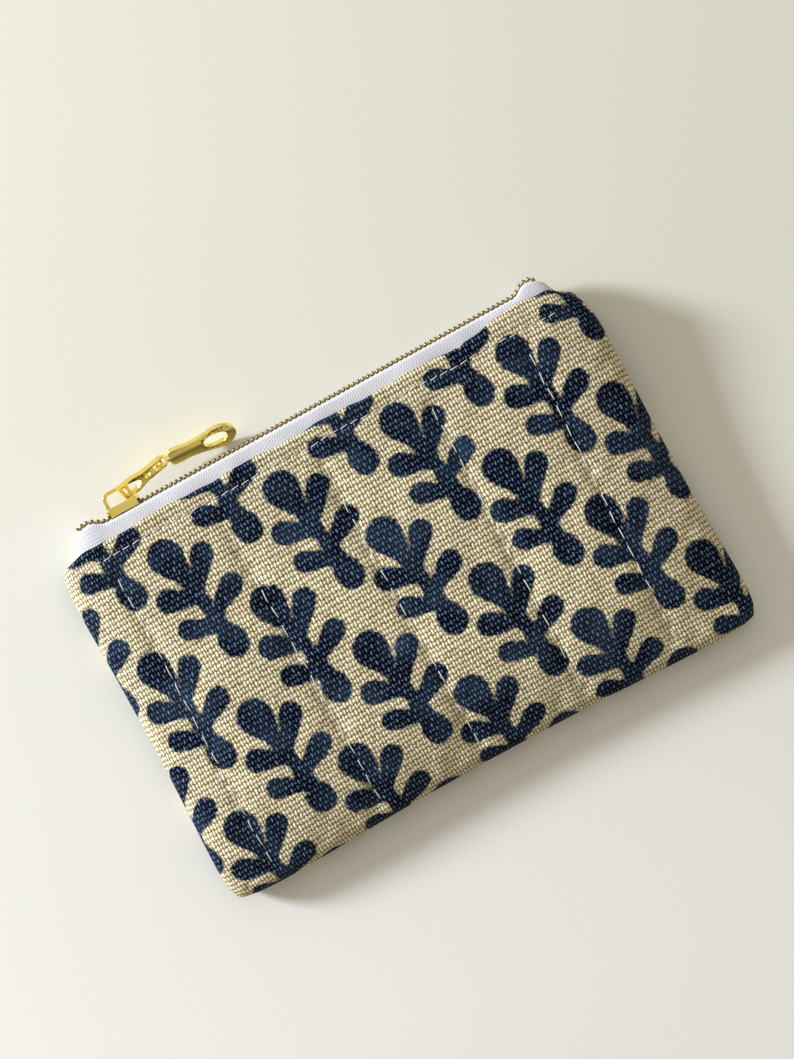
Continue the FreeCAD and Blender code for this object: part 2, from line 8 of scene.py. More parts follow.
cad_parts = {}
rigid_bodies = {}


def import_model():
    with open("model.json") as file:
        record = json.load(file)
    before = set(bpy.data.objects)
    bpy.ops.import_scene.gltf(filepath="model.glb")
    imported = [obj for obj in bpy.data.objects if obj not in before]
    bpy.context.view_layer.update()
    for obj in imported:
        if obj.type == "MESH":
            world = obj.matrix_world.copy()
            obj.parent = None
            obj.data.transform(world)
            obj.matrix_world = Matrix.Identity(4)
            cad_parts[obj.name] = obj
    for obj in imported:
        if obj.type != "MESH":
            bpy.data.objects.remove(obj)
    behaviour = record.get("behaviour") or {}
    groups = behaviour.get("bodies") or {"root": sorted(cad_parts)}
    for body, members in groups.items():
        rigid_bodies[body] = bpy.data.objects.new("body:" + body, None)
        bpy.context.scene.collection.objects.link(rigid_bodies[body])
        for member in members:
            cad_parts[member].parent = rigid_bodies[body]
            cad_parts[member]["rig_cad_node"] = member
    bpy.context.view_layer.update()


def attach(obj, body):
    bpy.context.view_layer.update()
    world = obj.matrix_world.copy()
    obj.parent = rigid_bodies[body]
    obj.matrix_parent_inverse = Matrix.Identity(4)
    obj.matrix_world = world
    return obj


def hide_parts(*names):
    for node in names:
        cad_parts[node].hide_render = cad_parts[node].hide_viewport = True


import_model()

# Lengths in this file are in millimetres until a mesh is made, unless a name ends in _M.
# X runs along the zipper from its closed end, Y from the bottom edge to the zipper, Z up.
MM = 0.001
PI = math.pi
FRONT, BACK = 1, -1
PANEL_SIDES = (("front", FRONT), ("back", BACK))

# ---------------------------------------------------------------- sizes, as in the CAD

HALF_WIDTH = 70.2
BOTTOM_Y = -45.0
FOLD_Y = 45.8                       # the panels' folded edges at the zipper
SEAM_Z = 4.0                        # height of the side and bottom seams over the table
SEAM_GAP = 0.04                     # between the two panels at the seams
EDGE_RADIUS = 3.3

FRONT_CROWN, FRONT_RUN = 5.75, 30.0     # the crown's height, and how far in from an edge it is full
MOUTH_CROWN, MOUTH_RUN = 5.05, 15.0
BACK_CROWN, BACK_RUN = 0.75, 11.0
CROWN_POWER = 2.2
EDGE_ZONE = 12.0                    # near an edge, deeper layers start further in
MOUTH_BLEND_Y, MOUTH_BLEND_RUN = 5.0, 35.0

BOTTOM_PULL_IN = 2.6                # the quilting draws the bottom edge in between its corners
SIDE_PULL_IN = 0.9
BOTTOM_FLARE = 1.1
CORNER_CUT = 0.293                  # share of its radius that a round corner loses on each axis
CORNER_POWER = 9
BOTTOM_CORNER_RADIUS = 8.5          # softer than the CAD's
LEFT_MOUTH_RADIUS = 6.0
RIGHT_MOUTH_RADIUS = 11.0           # softer than the CAD's, whose corner is the left one mirrored
CORNER_LIFT = 4.0                   # the corner past the zipper's open end curls up
LIFT_START_X, LIFT_RUN_X = 55.0, 20.0
LIFT_START_Y, LIFT_RUN_Y = -25.0, 80.0

CANVAS, HEM = 0.8, 1.5              # one layer of canvas, and the folded hem
HEM_START_Y, HEM_FULL_Y = 38.8, 40.4
# A layer's near and far depth under the panel's outer face
BATTING = (0.9, 2.7)
LINING, LINING_AT_ZIPPER = (2.85, 3.15), (2.6, 2.9)
TAPE = (1.75, 2.25)
BATTING_END_Y, LINING_END_Y = 37.8, 45.2

TAPE_FACE_Y, CHAIN_Z = 49.2, 6.4    # where the coils lie on the tapes
TAPE_EDGE, TAPE_BEND = 0.6, 0.9
COIL_PITCH, COIL_TURNS, COIL_START_X = 1.27, 93, -57.6
COIL_HEIGHT, COIL_OUTER, COIL_INNER = 1.3, 2.1, 0.36
COIL_SEAT = 0.03                    # the coil's clearance from the tape
WIRE_RADIUS, CORD_RADIUS, CORD_ASIDE = 0.25, 0.18, 1.35
SEWING_RADIUS, QUILT_RADIUS, TOPSTITCH_RADIUS, TACK_RADIUS = 0.10, 0.13, 0.12, 0.15

TOPSTITCH_Y, TOPSTITCH_HALF_RUN = 41.9, 63.0
TOPSTITCH_PITCH, TOPSTITCH_LENGTH = 2.6, 2.2
QUILT_XS = (-57.2, -28.7, -2.4, 25.2, 50.2)
QUILT_PITCH, QUILT_LENGTH = 4.5, 3.4
QUILT_START_Y, QUILT_END_Y = -39.0, 38.0
STITCH_ASKEW, STITCH_UNEVEN = 0.22, 0.25    # how far hand-sewn stitches stray

# ---------------------------------------------------------------- the cloth's relief

CHANNEL_DEPTH, CHANNEL_WIDTH = 0.50, 1.5    # each quilting row's channel
HOLLOW_DEPTH, HOLLOW_WIDTH = 0.30, 4.5      # the wider hollow round it
DIMPLE_DEPTH, DIMPLE_WIDTH = 0.10, 1.6      # under each stitch
PUCKER_HEIGHT, PUCKER_OUT, PUCKER_WIDTH = 0.13, 3.2, 2.4
PUCKER_WAVES = (9.0, 23.0)
TOPSTITCH_DIP, TOPSTITCH_DIMPLE = 0.26, 0.06
SEAM_RIPPLE, SEAM_RIPPLE_IN, SEAM_RIPPLE_WIDTH, SEAM_RIPPLE_WAVE = 0.16, 4.5, 2.2, 0.9
BACK_RELIEF = 0.35                          # the back lies flatter on the table
SLACK = 0.20                                # slow swells where the cloth is loose
SLACK_WAVES = ((0.10, 0.23, 0.17, 0.0), (0.07, 0.52, -0.31, 2.0))   # height, x, y, start
STRAY_WAVES = ((0.22, 0.29, 0.5), (0.12, 0.81, 1.1))    # of the folded edges: height, x, start
STRAY_START_Y = 39.0
# Towards the zipper's open end the folded edges reach out over the tape.
FRONT_REACH, BACK_REACH, REACH_START_Y = 2.5, 2.2, 42.5
REACH_START_X, REACH_GROWS, REACH_END_X, REACH_SHRINKS = 38.0, 20.0, 62.0, 8.0
CORNER_REACH, CORNER_REACH_X, CORNER_REACH_RUN = 1.6, 58.0, 7.0     # of the back's corner
QUILT_WANDER, QUILT_WANDER_WAVE = 0.35, 17.0
ROWS_START_EARLY, ROWS_END_LATE, ROWS_FADE = 3.0, 2.0, 4.0      # the rows' channels fade out
RIGHT_ROW_SLANT = 0.018


def smooth(t):
    t = np.clip(t, 0.0, 1.0)
    return t * t * (3.0 - 2.0 * t)


def hump(distance, width):
    return np.exp(-(distance / width) ** 2)


def rise(distance, run):
    return 1.0 - (1.0 - np.clip(distance / run, 0.0, 1.0)) ** CROWN_POWER


def crown(side, x_inset, y_inset, y, depth):
    """How far a layer stands out of the seam plane, by its distance from the side and bottom."""
    near_x = x_inset - depth * np.clip(1.0 - x_inset / EDGE_ZONE, 0.0, None)
    near_y = y_inset - depth * np.clip(1.0 - y_inset / EDGE_ZONE, 0.0, None)
    if side == BACK:
        return BACK_CROWN * rise(near_x, BACK_RUN) * rise(near_y, BACK_RUN)
    at_mouth = smooth((y - MOUTH_BLEND_Y) / MOUTH_BLEND_RUN)
    run = FRONT_RUN + (MOUTH_RUN - FRONT_RUN) * at_mouth
    height = FRONT_CROWN + (MOUTH_CROWN - FRONT_CROWN) * at_mouth
    return height * rise(near_x, run) * rise(near_y, FRONT_RUN)


def lift_at(x, y):
    lift_x = smooth((x - LIFT_START_X) / LIFT_RUN_X)
    return CORNER_LIFT * lift_x * smooth((y - LIFT_START_Y) / LIFT_RUN_Y)


def settle(x, y, z):
    """Moves points of a straight-sided pouch onto the real one's outline."""
    across = x / HALF_WIDTH
    up = y / np.where(y > 0, FOLD_Y, -BOTTOM_Y)
    mouth_radius = np.where(x > 0, RIGHT_MOUTH_RADIUS, LEFT_MOUTH_RADIUS)
    radius = np.where(y > 0, mouth_radius, BOTTOM_CORNER_RADIUS)
    corner = CORNER_CUT * radius * np.abs(across) ** CORNER_POWER * np.abs(up) ** CORNER_POWER
    flare = BOTTOM_FLARE * (0.5 - 0.5 * up) ** 2 - SIDE_PULL_IN * (1.0 - up * up)
    pull_in = BOTTOM_PULL_IN * (1.0 - across * across) * np.abs(up) ** 3
    settled_x = x - np.copysign(corner, x) + flare * across ** 3
    settled_y = y - np.copysign(corner, y) + np.where(y < 0, pull_in, 0.0)
    return np.stack([settled_x, settled_y, z + lift_at(x, y)], -1)


def quilt_line(x0, y):
    """The quilting rows wander a little, as sewn by hand along a drawn line."""
    slant = RIGHT_ROW_SLANT * (y + 5.0) if x0 == QUILT_XS[-1] else 0.0
    return x0 + QUILT_WANDER * np.sin(y / QUILT_WANDER_WAVE + x0) + slant


def quilting_relief(x, y):
    """Sewn channels, with a dimple under each stitch and puckers along both sides."""
    total = np.zeros(np.broadcast(x, y).shape)
    for x0 in QUILT_XS:
        d = x - quilt_line(x0, y)
        stitch = np.cos(2.0 * PI * (y - QUILT_START_Y - QUILT_LENGTH / 2.0) / QUILT_PITCH)
        pull = np.sin(2.0 * PI * y / PUCKER_WAVES[0] + x0 * 1.7)
        pull = pull * np.sin(2.0 * PI * y / PUCKER_WAVES[1] + x0)
        total = total - CHANNEL_DEPTH * hump(d, CHANNEL_WIDTH)
        total = total - HOLLOW_DEPTH * hump(d, HOLLOW_WIDTH)
        total = total + DIMPLE_DEPTH * stitch * hump(d, DIMPLE_WIDTH)
        total = total + PUCKER_HEIGHT * pull * hump(np.abs(d) - PUCKER_OUT, PUCKER_WIDTH)
    from_start = smooth((y - QUILT_START_Y + ROWS_START_EARLY) / ROWS_FADE)
    return total * from_start * smooth((QUILT_END_Y + ROWS_END_LATE - y) / ROWS_FADE)


def relief(side, x, y):
    """How far the cloth stands out of the smooth crown, or sinks below it."""
    phase = 2.0 * PI * (x + TOPSTITCH_HALF_RUN - TOPSTITCH_LENGTH / 2.0) / TOPSTITCH_PITCH
    topstitch = (TOPSTITCH_DIP - TOPSTITCH_DIMPLE * np.cos(phase)) * hump(y - TOPSTITCH_Y, 1.0)
    slack = SLACK * np.sin(0.115 * x + 0.6) * np.sin(0.10 * y + 1.1)
    for height, wave_x, wave_y, start in SLACK_WAVES:
        slack = slack + height * np.sin(wave_x * x + wave_y * y + start)
    side_inset, bottom_inset = HALF_WIDTH - np.abs(x), y - BOTTOM_Y
    along_edge = np.where(side_inset < bottom_inset, y, x)
    inset = np.minimum(side_inset, bottom_inset)
    inner = (quilting_relief(x, y) - topstitch + slack) * rise(inset - 1.0, EDGE_ZONE)
    ripple = SEAM_RIPPLE * np.sin(SEAM_RIPPLE_WAVE * along_edge + 0.7)
    ripple = ripple * hump(inset - SEAM_RIPPLE_IN, SEAM_RIPPLE_WIDTH)
    return (1.0 if side == FRONT else BACK_RELIEF) * (inner + ripple)


class Columns:
    """Stations across a panel: round edges at both ends and evenly spaced ones between."""

    def __init__(self, step, arc):
        angles = np.linspace(0.0, PI / 2.0, arc)
        inner_half = HALF_WIDTH - EDGE_RADIUS
        count = int(2.0 * inner_half / step)
        inner = np.linspace(-inner_half, inner_half, count + 1)[1:-1]
        zero = np.zeros(len(inner))
        self.edge = np.concatenate([np.ones(arc), zero, np.ones(arc)]).astype(bool)
        self.sign = np.concatenate([-np.ones(arc), zero, np.ones(arc)])
        self.angle = np.concatenate([angles, zero, angles[::-1]])
        self.inner = np.concatenate([np.zeros(arc), inner, np.zeros(arc)])

    def at(self, depth):
        """x, sine of the edge's turn and the cloth's own flat coordinate, for rows at depths."""
        depth = np.minimum(depth, EDGE_RADIUS - 0.1)[:, None]
        radius = EDGE_RADIUS - depth
        edge_x = self.sign * (HALF_WIDTH - depth - radius * (1.0 - np.cos(self.angle)))
        x = np.where(self.edge, edge_x, self.inner)
        sine = np.where(self.edge, np.sin(self.angle), 1.0) * np.ones_like(depth)
        turned = EDGE_RADIUS * (PI / 2.0 - self.angle)
        flat_edge = self.sign * (HALF_WIDTH - EDGE_RADIUS + turned)
        flat = np.where(self.edge, flat_edge, self.inner) * np.ones_like(depth)
        return x, sine, flat


def mouth_edge(side, x, y):
    """How far the panels' folded edges stray out of a straight line."""
    stray = sum(height * np.sin(wave * x + start) for height, wave, start in STRAY_WAVES)
    over_tape = FRONT_REACH if side == FRONT else BACK_REACH
    over_tape = over_tape * smooth((x - REACH_START_X) / REACH_GROWS)
    over_tape = over_tape * (1.0 - smooth((x - REACH_END_X) / REACH_SHRINKS))
    if side == BACK:
        over_tape = over_tape + CORNER_REACH * smooth((x - CORNER_REACH_X) / CORNER_REACH_RUN)
    stray = stray * smooth((y - STRAY_START_Y) / (FOLD_Y - STRAY_START_Y))
    return stray + over_tape * smooth((y - REACH_START_Y) / (FOLD_Y - REACH_START_Y))


def panel(side, x, x_sine, y, y_sine, depth, out=0.0):
    """Points of a panel at a depth under its outer face, where 0 <= sine < 1 is its round edge."""
    inset_x, inset_y = HALF_WIDTH - np.abs(x), y - BOTTOM_Y
    up = (EDGE_RADIUS - depth) * x_sine * y_sine + crown(side, inset_x, inset_y, y, depth)
    up = up + SEAM_GAP + (relief(side, x, y) + out) * x_sine * y_sine
    points = settle(x, y, SEAM_Z + side * up)
    points[..., 1] += mouth_edge(side, x, y)
    if side == BACK:
        table_clearance = 0.02
        points[..., 2] = np.maximum(points[..., 2], depth + table_clearance)
    return points


def bottom_arc(depth, arc):
    """y, sine of the turn and the cloth's own flat coordinate round the bottom edge."""
    angles = np.linspace(0.0, PI / 2.0, arc)
    y = BOTTOM_Y + depth + (EDGE_RADIUS - depth) * (1.0 - np.cos(angles))
    flat = BOTTOM_Y + EDGE_RADIUS - EDGE_RADIUS * (PI / 2.0 - angles)
    return y, np.sin(angles), flat


# ---------------------------------------------------------------- meshes

def even(start, end, step):
    return np.linspace(start, end, int((end - start) / step) + 1)


def mesh_object(name, points, faces, attributes, material, smooth_shade=True):
    mesh = bpy.data.meshes.new(name)
    points = np.asarray(points, float).reshape(-1, 3) * MM
    faces = np.asarray(faces, np.int32)
    sides = faces.shape[1]
    mesh.vertices.add(len(points))
    mesh.vertices.foreach_set("co", points.astype(np.float32).ravel())
    mesh.loops.add(faces.size)
    mesh.loops.foreach_set("vertex_index", faces.ravel())
    mesh.polygons.add(len(faces))
    mesh.polygons.foreach_set("loop_start", np.arange(0, faces.size, sides, dtype=np.int32))
    mesh.polygons.foreach_set("use_smooth", np.full(len(faces), smooth_shade))
    for label, values in attributes:
        values = np.asarray(values, np.float32)
        if values.ndim == 1:
            mesh.attributes.new(label, "FLOAT", "POINT").data.foreach_set("value", values)
        else:
            data = mesh.attributes.new(label, "FLOAT_VECTOR", "POINT").data
            data.foreach_set("vector", values.ravel())
    mesh.materials.append(material)
    mesh.update()
    mesh.validate()
    obj = bpy.data.objects.new(name, mesh)
    bpy.context.scene.collection.objects.link(obj)
    return obj


def grid_faces(rows, cols, flip):
    i, j = np.meshgrid(np.arange(rows - 1), np.arange(cols - 1), indexing="ij")
    a = (i * cols + j).ravel()
    quad = np.stack([a, a + 1, a + cols + 1, a + cols], 1)
    return quad[:, ::-1] if flip else quad


def folded_grid(rows, cols, flip):
    """Faces of a closed sheet whose rows run out along one face and back along the other."""
    faces = [grid_faces(rows, cols, flip)]
    i = np.arange(rows // 2 - 1)
    for col, turn in ((0, flip), (cols - 1, not flip)):
        quad = np.stack([i * cols + col, (i + 1) * cols + col,
                         (rows - 2 - i) * cols + col, (rows - 1 - i) * cols + col], 1)
        faces.append(quad[:, ::-1] if turn else quad)
    first = np.arange(cols - 1)
    last = (rows - 1) * cols + first
    quad = np.stack([first, first + 1, last + 1, last], 1)
    faces.append(quad if flip else quad[:, ::-1])
    return np.concatenate(faces)


# ---------------------------------------------------------------- printed sprig

# Columns are the repeat's two steps.
LATTICE = np.array([[30.9, -15.3], [0.9, -21.4]])
SPRIG_AT = (4.6, 3.6)
BACK_PRINT_SHIFT = 13.0
LOBE_BLEND = 1.0
# Each lobe tapers from one round end to the other: x, y, radius at the root, then at the tip.
SPRIG = (
    (1.6, -11.4, 3.3, 1.9, -12.6, 3.3),
    (1.5, -9.6, 1.9, 0.6, -3.6, 1.6),
    (0.6, -3.6, 1.6, -0.8, 4.2, 1.5),
    (-0.9, 4.6, 1.7, -2.8, 12.4, 4.2),
    (0.0, 1.6, 1.3, 5.0, 9.2, 2.7),
    (-0.2, 0.2, 1.4, -7.2, 3.2, 2.8),
    (0.7, -4.8, 1.4, 7.6, -0.3, 2.7),
    (0.9, -7.6, 1.4, -6.2, -4.8, 2.5),
)


def blend_min(a, b, soft):
    share = np.clip(0.5 + 0.5 * (b - a) / soft, 0.0, 1.0)
    return b + (a - b) * share - soft * share * (1.0 - share)


def lobe_distance(qx, qy, root, tip):
    """Distance from a lobe's outline. qx, qy is the place seen from the middle of its axis."""
    hx, hy = (tip[0] - root[0]) / 2.0, (tip[1] - root[1]) / 2.0
    along = ((qx + hx) * 2 * hx + (qy + hy) * 2 * hy) / (4 * (hx * hx + hy * hy))
    along = np.clip(along, 0.0, 1.0)
    distance = np.hypot(qx + hx - 2 * hx * along, qy + hy - 2 * hy * along)
    return distance - (root[2] + (tip[2] - root[2]) * smooth(along))


def print_distance(u, v):
    """Distance from the printed sprigs' outline, negative inside."""
    to_steps = np.linalg.inv(LATTICE)
    best = None
    for lobe in SPRIG:
        root, tip = lobe[:3], lobe[3:]
        du = u - (SPRIG_AT[0] + (root[0] + tip[0]) / 2.0)
        dv = v - (SPRIG_AT[1] + (root[1] + tip[1]) / 2.0)
        s = to_steps[0, 0] * du + to_steps[0, 1] * dv
        t = to_steps[1, 0] * du + to_steps[1, 1] * dv
        s, t = s - np.round(s), t - np.round(t)
        qx = LATTICE[0, 0] * s + LATTICE[0, 1] * t
        qy = LATTICE[1, 0] * s + LATTICE[1, 1] * t
        distance = lobe_distance(qx, qy, root, tip)
        best = distance if best is None else blend_min(best, distance, LOBE_BLEND)
    return best


# ---------------------------------------------------------------- materials

def srgb(r, g, b):
    def one(v):
        v /= 255.0
        return v / 12.92 if v <= 0.04045 else ((v + 0.055) / 1.055) ** 2.4
    return one(r), one(g), one(b)


class Nodes:
    """Short way to build a material's or world's nodes. A call adds one and returns its output."""

    def __init__(self, owner):
        self.owner = owner
        owner.use_nodes = True
        self.tree = owner.node_tree
        self.tree.nodes.clear()

    def feed(self, socket, value):
        """Links an output to a socket, or sets the socket to a number, vector or colour."""
        if isinstance(value, bpy.types.NodeSocket):
            self.tree.links.new(value, socket)
        elif isinstance(value, tuple) and len(socket.default_value) == 4:
            socket.default_value = (*value, 1.0)
        else:
            socket.default_value = value

    def add(self, kind, inputs=(), output=0, **settings):
        node = self.tree.nodes.new(kind)
        for key, value in settings.items():
            setattr(node, key, value)
        for key, value in dict(inputs).items():
            self.feed(node.inputs[key], value)
        return node.outputs[output] if len(node.outputs) else None

    def math(self, operation, *values):
        return self.add("ShaderNodeMath", enumerate(values), operation=operation)

    def times(self, a, b):
        return self.math("MULTIPLY", a, b)

    def plus(self, a, b):
        return self.math("ADD", a, b)

    def minus(self, a, b):
        return self.math("SUBTRACT", a, b)

    def centred(self, value):
        return self.minus(value, 0.5)

    def wave(self, phase):
        """A sine wave that runs from 0 to 1."""
        return self.math("MULTIPLY_ADD", self.math("SINE", phase), 0.5, 0.5)

    def vector(self, operation, *values):
        return self.add("ShaderNodeVectorMath", enumerate(values), operation=operation)

    def attribute(self, name, output="Vector"):
        return self.add("ShaderNodeAttribute", output=output, attribute_name=name)

    def place(self):
        return self.add("ShaderNodeTexCoord", output="Object")

    def split(self, vector):
        node = self.tree.nodes.new("ShaderNodeSeparateXYZ")
        self.tree.links.new(vector, node.inputs[0])
        return node.outputs

    def noise(self, vector, scale, detail=2.0, rough=0.5):
        inputs = {"Vector": vector, "Scale": scale, "Detail": detail, "Roughness": rough}
        return self.add("ShaderNodeTexNoise", inputs, output="Fac")

    def ramp(self, factor, *stops):
        """A colour ramp. Each stop is its position and its sRGB colour from 0 to 255."""
        return self.linear_ramp(factor, *((position, srgb(*colour)) for position, colour in stops))

    def linear_ramp(self, factor, *stops):
        node = self.tree.nodes.new("ShaderNodeValToRGB")
        self.tree.links.new(factor, node.inputs[0])
        while len(node.color_ramp.elements) < len(stops):
            node.color_ramp.elements.new(0.5)
        for element, (position, colour) in zip(node.color_ramp.elements, stops):
            element.position = position
            element.color = (*colour, 1.0)
        return node.outputs[0]

    def mix(self, factor, a, b, kind="MIX"):
        colour_output, factor_input, first_colour, second_colour = 2, 0, 6, 7
        return self.add("ShaderNodeMix", {factor_input: factor, first_colour: a, second_colour: b},
                        output=colour_output, data_type="RGBA", blend_type=kind)

    def range(self, value, low, high, to_low=0.0, to_high=1.0):
        return self.add("ShaderNodeMapRange", {0: value, 1: low, 2: high, 3: to_low, 4: to_high})

    def bump(self, height, distance_mm, strength=1.0):
        inputs = {"Height": height, "Distance": distance_mm * MM, "Strength": strength}
        return self.add("ShaderNodeBump", inputs)

    def finish(self, **inputs):
        named = {key.replace("_", " "): value for key, value in inputs.items()}
        shader = self.add("ShaderNodeBsdfPrincipled", named)
        self.add("ShaderNodeOutputMaterial", {"Surface": shader})
        return self.owner


def weave(n, warp_pitch, weft_pitch, wander, weft_height=1.0, roundness=0.42, cover=0.6):
    """Plain weave: the cloth's place, its height from 0 to 1, and 1 where the warp is on top."""
    cloth = n.attribute("cloth")
    u, v, _ = n.split(cloth)
    elsewhere = n.vector("ADD", cloth, (37.0, 11.0, 5.0))
    stray_u = n.times(n.centred(n.noise(cloth, 0.55, 1.0)), wander * 4)
    stray_v = n.times(n.centred(n.noise(elsewhere, 0.55, 1.0)), wander * 4)
    across_warp = n.math("COSINE", n.times(n.plus(u, stray_u), PI / warp_pitch))
    across_weft = n.math("COSINE", n.times(n.plus(v, stray_v), PI / weft_pitch))
    over = n.times(across_warp, across_weft)

    def thread(across, sign):
        on_top = n.math("MULTIPLY_ADD", over, sign * 0.5, 0.5)
        profile = n.math("POWER", n.math("ABSOLUTE", across), roundness)
        return n.times(profile, n.math("POWER", on_top, cover))

    warp = thread(across_warp, 1)
    weft = n.times(thread(across_weft, -1), weft_height)
    return cloth, n.math("MAXIMUM", warp, weft), n.math("GREATER_THAN", warp, weft)


def canvas_material():
    n = Nodes(bpy.data.materials.new("printed canvas"))
    cloth, height, is_warp = weave(n, 0.805, 1.29, wander=0.16, weft_height=0.86)
    # slubs: long soft swellings along each thread
    along_v = n.noise(n.vector("MULTIPLY", cloth, (1.25, 0.30, 1.0)), 1.0)
    along_u = n.noise(n.vector("MULTIPLY", cloth, (0.30, 0.8, 1.0)), 1.0)
    slub = n.plus(n.times(is_warp, along_v), n.times(n.minus(1.0, is_warp), along_u))
    tall = n.plus(height, n.times(n.centred(slub), 0.55))
    # painted shade and highlight: both ramps follow the weave's height, so the gaps between threads
    # are painted dark and the crowns light
    ground_with_painted_shade = n.ramp(tall, (0.25, (50, 39, 22)), (0.50, (158, 141, 103)),
                    (0.70, (226, 212, 176)), (0.95, (255, 250, 228)))
    ink_with_painted_shade = n.ramp(tall, (0.42, (0, 0, 3)), (0.66, (4, 8, 21)),
                 (0.80, (44, 60, 92)), (1.00, (116, 136, 163)))
    cloudy = n.range(n.noise(cloth, 0.045), 0.3, 0.7, 0.90, 1.08)
    cloudy = n.add("ShaderNodeCombineColor", {0: cloudy, 1: cloudy, 2: cloudy})
    ground_with_painted_shade = n.mix(1.0, ground_with_painted_shade, cloudy, "MULTIPLY")
    # the ink took less well in some places
    patchy = n.noise(n.vector("ADD", cloth, (90.0, 40.0, 0.0)), 0.10, 3.0)
    washed = n.mix(0.5, ink_with_painted_shade, srgb(92, 122, 152))
    ink_with_painted_shade = n.mix(n.range(patchy, 0.45, 0.80, 0.0, 0.40), ink_with_painted_shade, washed)
    # the print's edge is ragged, and ink reaches further on the threads' crowns
    ragged = n.times(n.centred(n.noise(cloth, 1.1)), 1.4)
    ragged = n.plus(ragged, n.times(n.minus(0.6, height), 0.7))
    bare = n.range(n.plus(n.attribute("print_edge", "Fac"), ragged), -0.16, 0.16)
    fibre = n.noise(cloth, 5.5, 3.0, 0.7)
    normal = n.bump(n.plus(height, n.times(fibre, 0.22)), 0.50)
    return n.finish(Base_Color=n.mix(bare, ink_with_painted_shade, ground_with_painted_shade), Roughness=0.86, Normal=normal,
                    Specular_IOR_Level=0.08)


def lining_material():
    n = Nodes(bpy.data.materials.new("cotton lining"))
    cloth, height, _ = weave(n, 0.30, 0.30, wander=0.05)
    fibre = n.noise(cloth, 4.0, 3.0, 0.7)
    # painted shade: tone follows the weave's height, so the colour darkens in the gaps between
    # threads
    tone = n.math("MULTIPLY_ADD", n.centred(fibre), 0.5, height)
    colour = n.ramp(tone, (0.1, (196, 190, 176)), (0.8, (235, 231, 220)))
    normal = n.bump(n.plus(height, n.times(fibre, 0.2)), 0.06)
    return n.finish(Base_Color=colour, Roughness=0.9, Normal=normal, Specular_IOR_Level=0.2)


def batting_material():
    n = Nodes(bpy.data.materials.new("cotton batting"))
    tuft = n.noise(n.attribute("cloth"), 0.9, 5.0, 0.65)
    colour = n.ramp(tuft, (0.3, (214, 211, 202)), (0.7, (246, 244, 238)))
    return n.finish(Base_Color=colour, Roughness=1.0, Normal=n.bump(tuft, 0.5),
                    Specular_IOR_Level=0.1)


def tape_material():
    """Warp-knitted tape: fine ribs that zigzag along it."""
    n = Nodes(bpy.data.materials.new("zipper tape"))
    rib_pitch, course_pitch, zigzags_per_mm = 0.62, 0.42, 0.85
    cloth = n.attribute("cloth")
    u, v, _ = n.split(cloth)
    zigzag = n.math("ABSOLUTE", n.centred(n.math("FRACT", n.times(v, zigzags_per_mm))))
    rib = n.wave(n.plus(n.times(u, 2.0 * PI / rib_pitch), n.times(zigzag, 5.5)))
    course = n.wave(n.times(v, 2.0 * PI / course_pitch))
    height = n.plus(n.times(rib, 0.7), n.times(course, 0.3))
    height = n.plus(height, n.times(n.noise(cloth, 4.5), 0.25))
    # painted shade: the colour follows the ribs' height, darker in their troughs and lighter on their
    # crests
    colour = n.ramp(height, (0.15, (184, 183, 191)), (0.6, (206, 205, 212)), (1.0, (221, 220, 226)))
    return n.finish(Base_Color=colour, Roughness=0.62, Normal=n.bump(height, 0.07, 0.8),
                    Sheen_Weight=0.15, Specular_IOR_Level=0.4)


def thread_material():
    n = Nodes(bpy.data.materials.new("sewing thread"))
    ply_pitch = 0.42
    along, around, _ = n.split(n.attribute("cloth"))
    ply = n.wave(n.plus(n.times(along, 2.0 * PI / ply_pitch), around))
    # painted shade: the colour is darker in the grooves between the plies
    colour = n.ramp(ply, (0.0, (190, 186, 176)), (0.7, (232, 230, 223)))
    return n.finish(Base_Color=colour, Roughness=0.5, Normal=n.bump(ply, 0.04), Sheen_Weight=0.1)


def coil_material():
    n = Nodes(bpy.data.materials.new("metallic coil"))
    cloth = n.attribute("cloth")
    tone = n.noise(cloth, 1.6)
    colour = n.ramp(tone, (0.3, (108, 84, 40)), (0.7, (166, 136, 70)))
    rough = n.range(n.noise(cloth, 6.0), 0.3, 0.7, 0.20, 0.34)
    return n.finish(Base_Color=colour, Roughness=rough, Metallic=0.95,
                    Normal=n.bump(tone, 0.02, 0.4))


def gold_material():
    n = Nodes(bpy.data.materials.new("polished gold plate"))
    place = n.place()
    colour = n.ramp(n.noise(place, 260.0, 3.0), (0.3, (250, 224, 112)), (0.7, (255, 234, 140)))
    wear = n.noise(n.vector("MULTIPLY", place, (1.0, 0.25, 1.0)), 2400.0, 3.0, 0.6)
    rough = n.range(wear, 0.3, 0.75, 0.08, 0.18)
    ripple = n.plus(n.noise(place, 300.0, 1.0), n.times(wear, 0.05))
    return n.finish(Base_Color=colour, Roughness=rough, Metallic=1.0,
                    Normal=n.bump(ripple, 0.03, 0.4))


def table_material():
    """A pale table with painted light: lighter, and a little less yellow, at the near side."""
    n = Nodes(bpy.data.materials.new("pale table"))
    place = n.place()
    x, y, _ = n.split(place)
    # painted light: the colour goes from a darker far tone to a lighter near one across the table
    nearer = n.plus(n.times(x, -0.25), n.times(y, -1.0))
    tone = n.noise(place, 7.0)
    far = n.mix(tone, srgb(226, 223, 212), srgb(231, 228, 217))
    near = n.mix(tone, srgb(238, 235, 232), srgb(243, 240, 237))
    colour = n.mix(n.range(nearer, -0.06, 0.10), far, near)
    grain = n.noise(place, 900.0, 4.0, 0.6)
    return n.finish(Base_Color=colour, Roughness=0.75, Normal=n.bump(grain, 0.10, 0.35),
                    Specular_IOR_Level=0.3)


